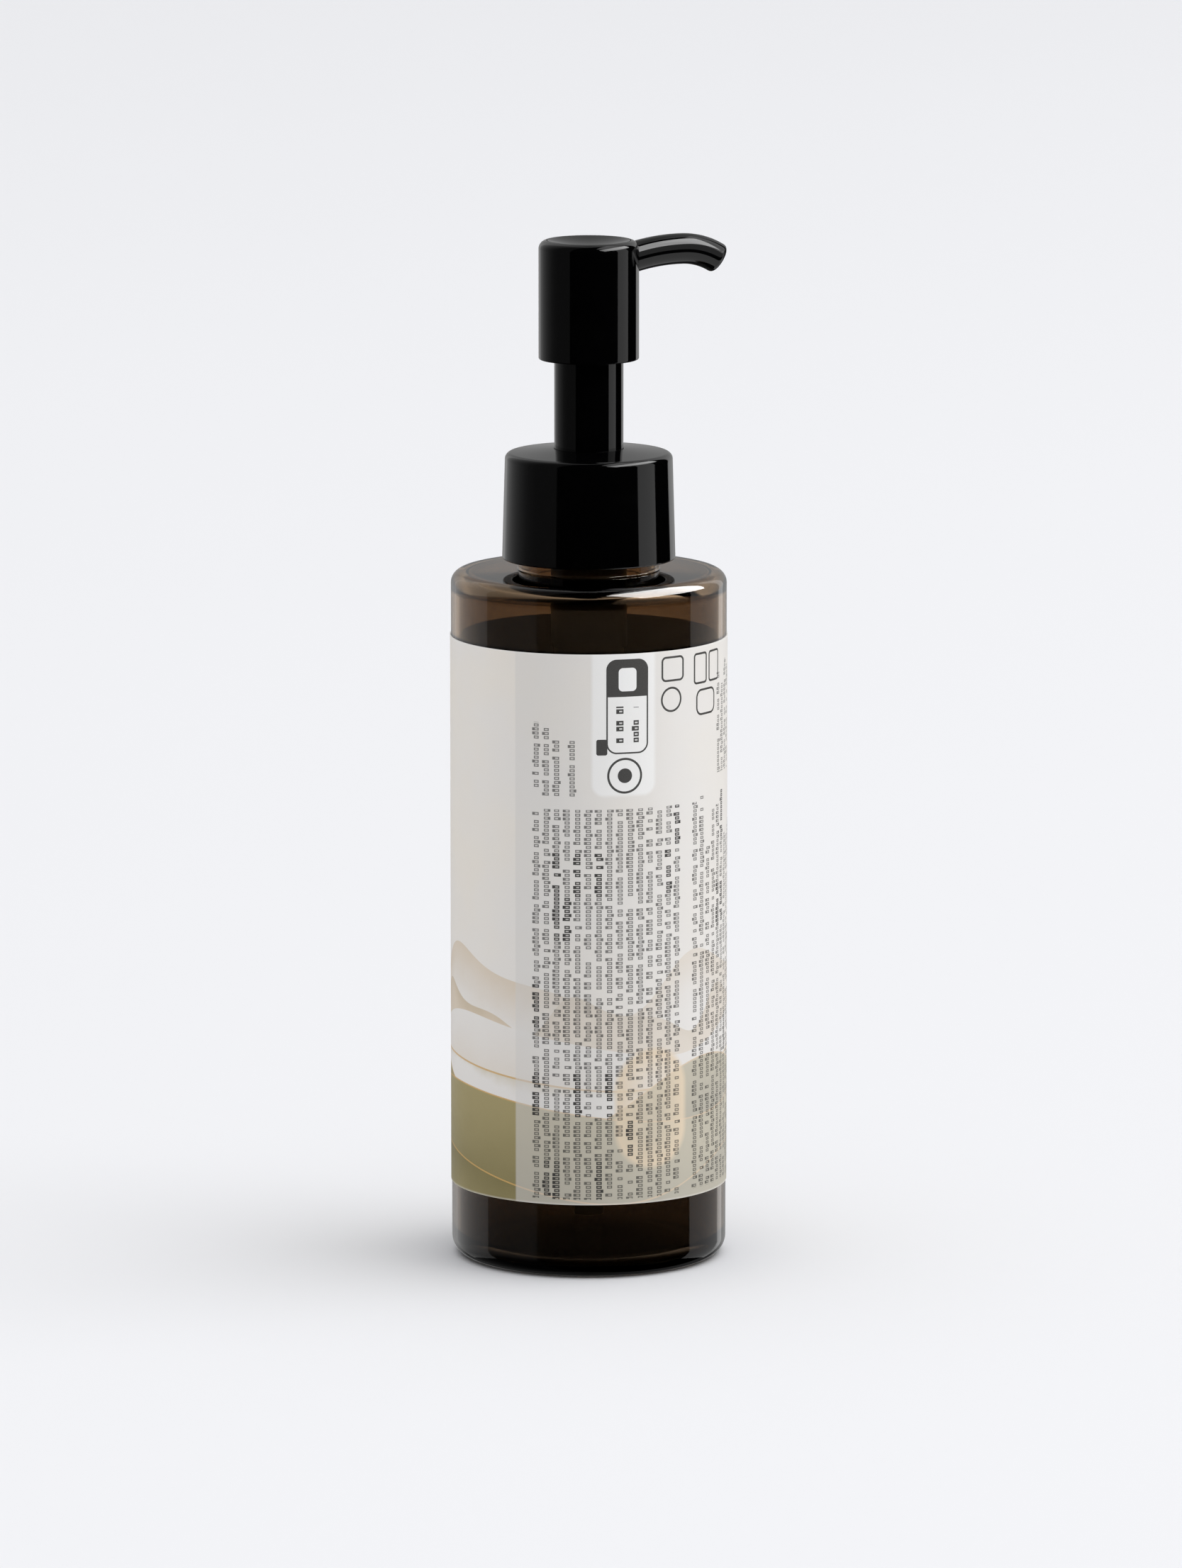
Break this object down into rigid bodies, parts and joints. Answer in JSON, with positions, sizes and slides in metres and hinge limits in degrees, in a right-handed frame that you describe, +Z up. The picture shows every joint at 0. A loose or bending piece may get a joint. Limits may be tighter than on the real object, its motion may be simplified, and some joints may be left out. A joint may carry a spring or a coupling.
{
  "type": "pump oil bottle",
  "caption": "Round transparent amber bottle with a wrap label, a smooth screw collar and a press-down piston pump with a curved nozzle.",
  "frame": {"origin": "centre of the base, on the surface the bottle stands on", "axes": "+Z up along the bottle's axis, +X the way the nozzle points at rest"},
  "size_m": [0.0461, 0.0452, 0.1681],
  "materials": {
    "amber_plastic": "clear, glossy",
    "label_film": "matt printed film",
    "black_gloss": "polished",
    "black_satin": "satin",
    "natural_plastic": "translucent, satin",
    "white_seal": "soft",
    "dark_seal": "soft",
    "steel_bright": "bright drawn"
  },
  "bodies": {
    "bottle": {"bottle": "amber_plastic", "label": "label_film"},
    "gasket": {"neck_gasket": "white_seal"},
    "pump": {"pump_housing": "black_satin", "guide_tower": "black_gloss", "tower_seal": "dark_seal", "stem_seal": "dark_seal", "ball_cage": "natural_plastic", "dip_tube": "natural_plastic", "return_spring": "steel_bright"},
    "collar": {"screw_collar": "black_gloss"},
    "inlet_valve": {"inlet_ball": "steel_bright"},
    "plunger": {"piston_rod": "natural_plastic", "stem": "natural_plastic"},
    "piston": {"piston_seal": "white_seal"},
    "head": {"actuator_core": "black_satin", "actuator_shell": "black_gloss", "nozzle": "black_gloss"}
  },
  "joints": [
    {"name": "pump_lift", "type": "slide", "parent": "bottle", "child": "gasket", "axis": [0, 0, 1], "range_m": [0, 0.135]},
    {"name": "collar_rise", "type": "slide", "parent": "gasket", "child": "pump", "axis": [0, 0, 1], "range_m": [0, 0.0048]},
    {"name": "collar_turn", "type": "hinge", "parent": "pump", "child": "collar", "pos_m": [0, 0, 0.124], "axis": [0, 0, 1], "range_deg": [0, 540]},
    {"name": "inlet_lift", "type": "slide", "parent": "pump", "child": "inlet_valve", "axis": [0, 0, 1], "range_m": [0, 0.0015]},
    {"name": "pump_press", "type": "slide", "parent": "pump", "child": "plunger", "axis": [0, 0, -1], "range_m": [0, 0.011], "stiffness_N_per_m": 700, "springref_m": -0.01, "deforming": ["return_spring"]},
    {"name": "piston_slip", "type": "slide", "parent": "plunger", "child": "piston", "axis": [0, 0, 1], "range_m": [0, 0.001]},
    {"name": "head_turn", "type": "hinge", "parent": "plunger", "child": "head", "pos_m": [0, 0, 0.155], "axis": [0, 0, 1], "continuous": true}
  ],
  "couplings": [
    {"joint": "collar_rise", "follows": "collar_turn", "m_per_rad": 0.00050532}
  ]
}
